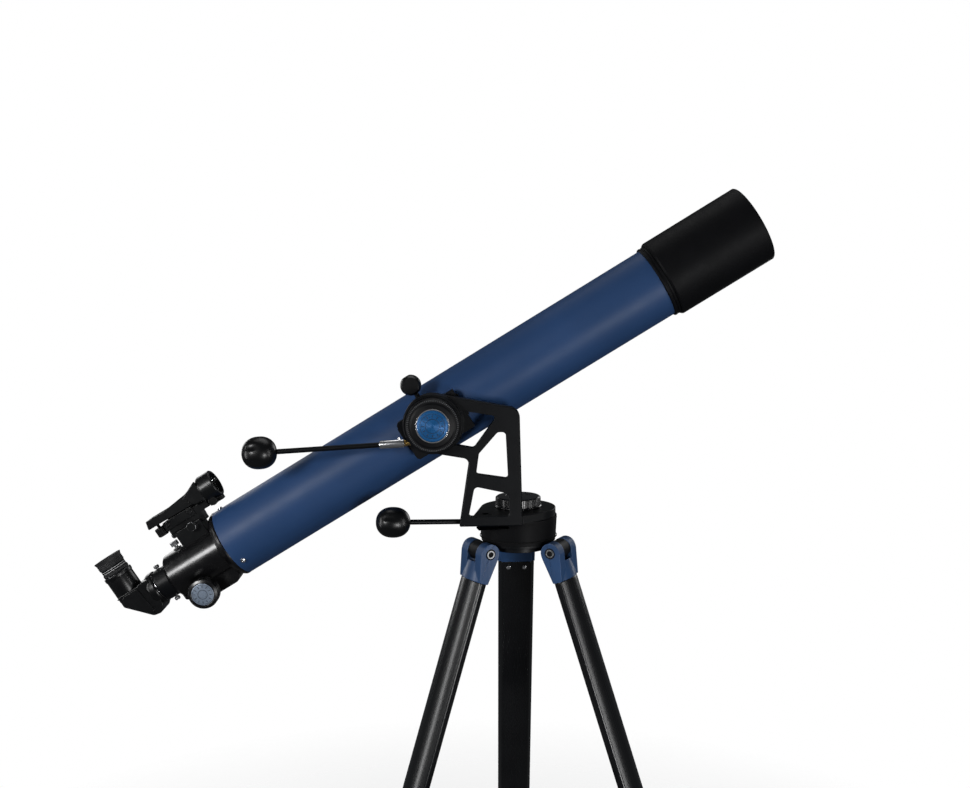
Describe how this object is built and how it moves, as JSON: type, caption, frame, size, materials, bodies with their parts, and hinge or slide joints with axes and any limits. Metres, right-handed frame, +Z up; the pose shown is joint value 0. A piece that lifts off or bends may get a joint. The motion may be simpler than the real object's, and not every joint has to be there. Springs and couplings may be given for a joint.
{
  "type": "refractor telescope",
  "caption": "Long refractor telescope on a single-arm altazimuth mount with slow-motion controls, on a folding tripod with extending legs and an accessory tray.",
  "frame": {"origin": "middle of the footprint of the whole object's box, on the floor; the azimuth axis is at x = 0.1149, y = -0.0791", "axes": "+Z up; +X is the way the front of the tube points; -Y is the side of the mount's arm and control knobs"},
  "size_m": [0.871, 0.5445, 1.2693],
  "materials": {
    "tube_blue": "satin powder coat",
    "black_paint": "satin black",
    "black_plastic": "fine moulded grain",
    "knob_plastic": "semi-gloss",
    "fork_blue": "gloss moulded",
    "cap_blue": "metallic blue disc",
    "leg_black": "black anodised satin",
    "steel": "turned",
    "chrome": "bright nickel",
    "brass": "turned",
    "glass": "coated optical glass",
    "rubber": "matte"
  },
  "bodies": {
    "tripod_top": {"tripod_head": "black_plastic", "azimuth_pillar": "steel", "azimuth_worm_wheel": "brass", "hinge_bolts": "chrome"},
    "turntable": {"azimuth_drum": "black_paint", "base_plate": "black_paint", "arm": "black_paint"},
    "azimuth_tension": {"azimuth_tension_knob": "black_plastic"},
    "azimuth_control": {"azimuth_worm_shaft": "steel", "azimuth_control_knob": "knob_plastic"},
    "optical_tube": {"altitude_axle": "steel", "altitude_worm_wheel": "brass", "saddle": "black_paint", "dovetail_bar": "black_paint", "main_tube": "tube_blue", "tube_baffles": "black_plastic", "objective_cell": "black_plastic", "objective_lenses": "glass", "lens_retainer": "black_plastic", "dew_shield": "black_plastic", "flange_screws": "chrome", "focuser_housing": "black_plastic", "finder_shoe": "black_plastic", "finder_base": "black_plastic"},
    "altitude_tension": {"altitude_tension_knob": "black_plastic", "altitude_knob_cap": "cap_blue"},
    "altitude_control": {"altitude_worm_shaft": "brass", "altitude_control_knob": "knob_plastic"},
    "saddle_clamp": {"saddle_clamp_knob": "knob_plastic"},
    "focuser_draw": {"drawtube": "black_paint", "eyepiece_holder": "black_paint", "holder_thumbscrews": "chrome"},
    "focus_pinion": {"pinion_shaft": "steel", "focus_knobs": "knob_plastic"},
    "focus_lock": {"focus_lock_screw": "black_plastic"},
    "diagonal": {"diagonal_body": "black_plastic", "diagonal_nose": "chrome", "diagonal_prism": "glass"},
    "eyepiece": {"eyepiece_barrel": "chrome", "eyepiece_body": "black_paint", "eyecup": "rubber"},
    "sight": {"finder_body": "black_plastic", "finder_lens": "glass"},
    "sight_dial": {"finder_switch": "black_plastic"},
    "tray": {"accessory_tray": "black_plastic"},
    "leg_1": {"leg_fork_1": "fork_blue", "upper_leg_1": "leg_black"},
    "leg_extension_1": {"lower_leg_1": "leg_black"},
    "leg_clamp_1": {"leg_lock_1": "knob_plastic"},
    "strut_1": {"brace_1": "steel"},
    "leg_2": {"leg_fork_2": "fork_blue", "upper_leg_2": "leg_black"},
    "leg_extension_2": {"lower_leg_2": "leg_black"},
    "leg_clamp_2": {"leg_lock_2": "knob_plastic"},
    "strut_2": {"brace_2": "steel"},
    "leg_3": {"leg_fork_3": "fork_blue", "upper_leg_3": "leg_black"},
    "leg_extension_3": {"lower_leg_3": "leg_black"},
    "leg_clamp_3": {"leg_lock_3": "knob_plastic"},
    "strut_3": {"brace_3": "steel"}
  },
  "joints": [
    {"name": "azimuth_turn", "type": "hinge", "parent": "tripod_top", "child": "turntable", "pos_m": [0.1149, -0.0791, 0.8521], "axis": [0, 0, 1], "continuous": true},
    {"name": "azimuth_tension_turn", "type": "hinge", "parent": "tripod_top", "child": "azimuth_tension", "pos_m": [0.1149, -0.0791, 0.8791], "axis": [0, 0, 1], "range_deg": [-45, 270]},
    {"name": "azimuth_control_turn", "type": "hinge", "parent": "turntable", "child": "azimuth_control", "pos_m": [0.12238, -0.11431, 0.8596], "axis": [-0.9768, -0.2076, 0.0523], "continuous": true},
    {"name": "altitude_turn", "type": "hinge", "parent": "turntable", "child": "optical_tube", "pos_m": [0.00897, -0.1391, 0.99044], "axis": [0, -1, 0], "range_deg": [-45.8, 39.2]},
    {"name": "altitude_tension_turn", "type": "hinge", "parent": "optical_tube", "child": "altitude_tension", "pos_m": [0.00897, -0.1641, 0.99044], "axis": [0, 1, 0], "range_deg": [-45, 270]},
    {"name": "altitude_control_turn", "type": "hinge", "parent": "turntable", "child": "altitude_control", "pos_m": [0.01013, -0.1471, 0.96827], "axis": [-0.9986, 0, -0.0523], "range_deg": [-1660, 1660]},
    {"name": "saddle_clamp_turn", "type": "hinge", "parent": "optical_tube", "child": "saddle_clamp", "pos_m": [-0.00639, -0.1311, 1.01621], "axis": [-0.512, 0, 0.859], "range_deg": [-60, 240]},
    {"name": "focus_travel", "type": "slide", "parent": "optical_tube", "child": "focuser_draw", "axis": [-0.859, 0, -0.512], "range_m": [0, 0.074]},
    {"name": "pinion_turn", "type": "hinge", "parent": "optical_tube", "child": "focus_pinion", "pos_m": [-0.28623, -0.0791, 0.77418], "axis": [0, 1, 0], "range_deg": [-1100, 1100]},
    {"name": "focus_lock_turn", "type": "hinge", "parent": "optical_tube", "child": "focus_lock", "pos_m": [-0.32708, -0.0791, 0.82201], "axis": [-0.512, 0, 0.859], "range_deg": [-30, 360]},
    {"name": "diagonal_turn", "type": "hinge", "parent": "focuser_draw", "child": "diagonal", "pos_m": [-0.35759, -0.0791, 0.7689], "axis": [0.859, 0, 0.512], "continuous": true},
    {"name": "eyepiece_lift", "type": "slide", "parent": "diagonal", "child": "eyepiece", "axis": [-0.512, 0, 0.859], "range_m": [0, 0.024]},
    {"name": "sight_tilt", "type": "hinge", "parent": "optical_tube", "child": "sight", "pos_m": [-0.30854, -0.0791, 0.89011], "axis": [0, 1, 0], "range_deg": [-1.5, 1.5]},
    {"name": "sight_dial_turn", "type": "hinge", "parent": "sight", "child": "sight_dial", "pos_m": [-0.34622, -0.0791, 0.84552], "axis": [-0.512, 0, 0.859], "range_deg": [0, 280]},
    {"name": "leg_1_fold", "type": "hinge", "parent": "tripod_top", "child": "leg_1", "pos_m": [0.1149, -0.0218, 0.82], "axis": [-1, 0, 0], "range_deg": [0, 17]},
    {"name": "leg_1_extend", "type": "slide", "parent": "leg_1", "child": "leg_extension_1", "axis": [0, 0.3256, -0.9455], "range_m": [-0.25, 0.12]},
    {"name": "leg_1_lock_turn", "type": "hinge", "parent": "leg_1", "child": "leg_clamp_1", "pos_m": [0.1149, 0.17389, 0.3131], "axis": [0, 0.9455, 0.3256], "range_deg": [-30, 270]},
    {"name": "strut_1_fold", "type": "hinge", "parent": "leg_1", "child": "strut_1", "pos_m": [0.1149, 0.12533, 0.33127], "axis": [-1, 0, 0], "range_deg": [0, 42.36]},
    {"name": "leg_2_fold", "type": "hinge", "parent": "tripod_top", "child": "leg_2", "pos_m": [0.06528, -0.10775, 0.82], "axis": [0.5, -0.866, 0], "range_deg": [0, 17]},
    {"name": "leg_2_extend", "type": "slide", "parent": "leg_2", "child": "leg_extension_2", "axis": [-0.282, -0.1628, -0.9455], "range_m": [-0.25, 0.12]},
    {"name": "leg_2_lock_turn", "type": "hinge", "parent": "leg_2", "child": "leg_clamp_2", "pos_m": [-0.1042, -0.2056, 0.3131], "axis": [-0.8188, -0.4728, 0.3256], "range_deg": [-30, 270]},
    {"name": "strut_2_fold", "type": "hinge", "parent": "leg_2", "child": "strut_2", "pos_m": [-0.06214, -0.18132, 0.33127], "axis": [0.5, -0.866, 0], "range_deg": [0, 42.36]},
    {"name": "leg_3_fold", "type": "hinge", "parent": "tripod_top", "child": "leg_3", "pos_m": [0.16452, -0.10775, 0.82], "axis": [0.5, 0.866, 0], "range_deg": [0, 17]},
    {"name": "leg_3_extend", "type": "slide", "parent": "leg_3", "child": "leg_extension_3", "axis": [0.282, -0.1628, -0.9455], "range_m": [-0.25, 0.12]},
    {"name": "leg_3_lock_turn", "type": "hinge", "parent": "leg_3", "child": "leg_clamp_3", "pos_m": [0.334, -0.2056, 0.3131], "axis": [0.8188, -0.4728, 0.3256], "range_deg": [-30, 270]},
    {"name": "strut_3_fold", "type": "hinge", "parent": "leg_3", "child": "strut_3", "pos_m": [0.29194, -0.18132, 0.33127], "axis": [0.5, 0.866, 0], "range_deg": [0, 42.36]},
    {"name": "tray_lift", "type": "slide", "parent": "tripod_top", "child": "tray", "axis": [0, 0, 1], "range_m": [0, 0.10138]}
  ],
  "couplings": [
    {"joint": "azimuth_control_turn", "follows": "azimuth_turn", "ratio": 60},
    {"joint": "altitude_control_turn", "follows": "altitude_turn", "ratio": 36},
    {"joint": "pinion_turn", "follows": "focus_travel", "rad_per_m": 208.33},
    {"joint": "strut_1_fold", "follows": "leg_1_fold", "ratio": 2.48},
    {"joint": "strut_2_fold", "follows": "leg_1_fold", "ratio": 2.48},
    {"joint": "leg_2_fold", "follows": "leg_1_fold", "ratio": 1},
    {"joint": "strut_3_fold", "follows": "leg_1_fold", "ratio": 2.48},
    {"joint": "leg_3_fold", "follows": "leg_1_fold", "ratio": 1},
    {"joint": "tray_lift", "follows": "leg_1_fold", "m_per_rad": 0.34}
  ]
}
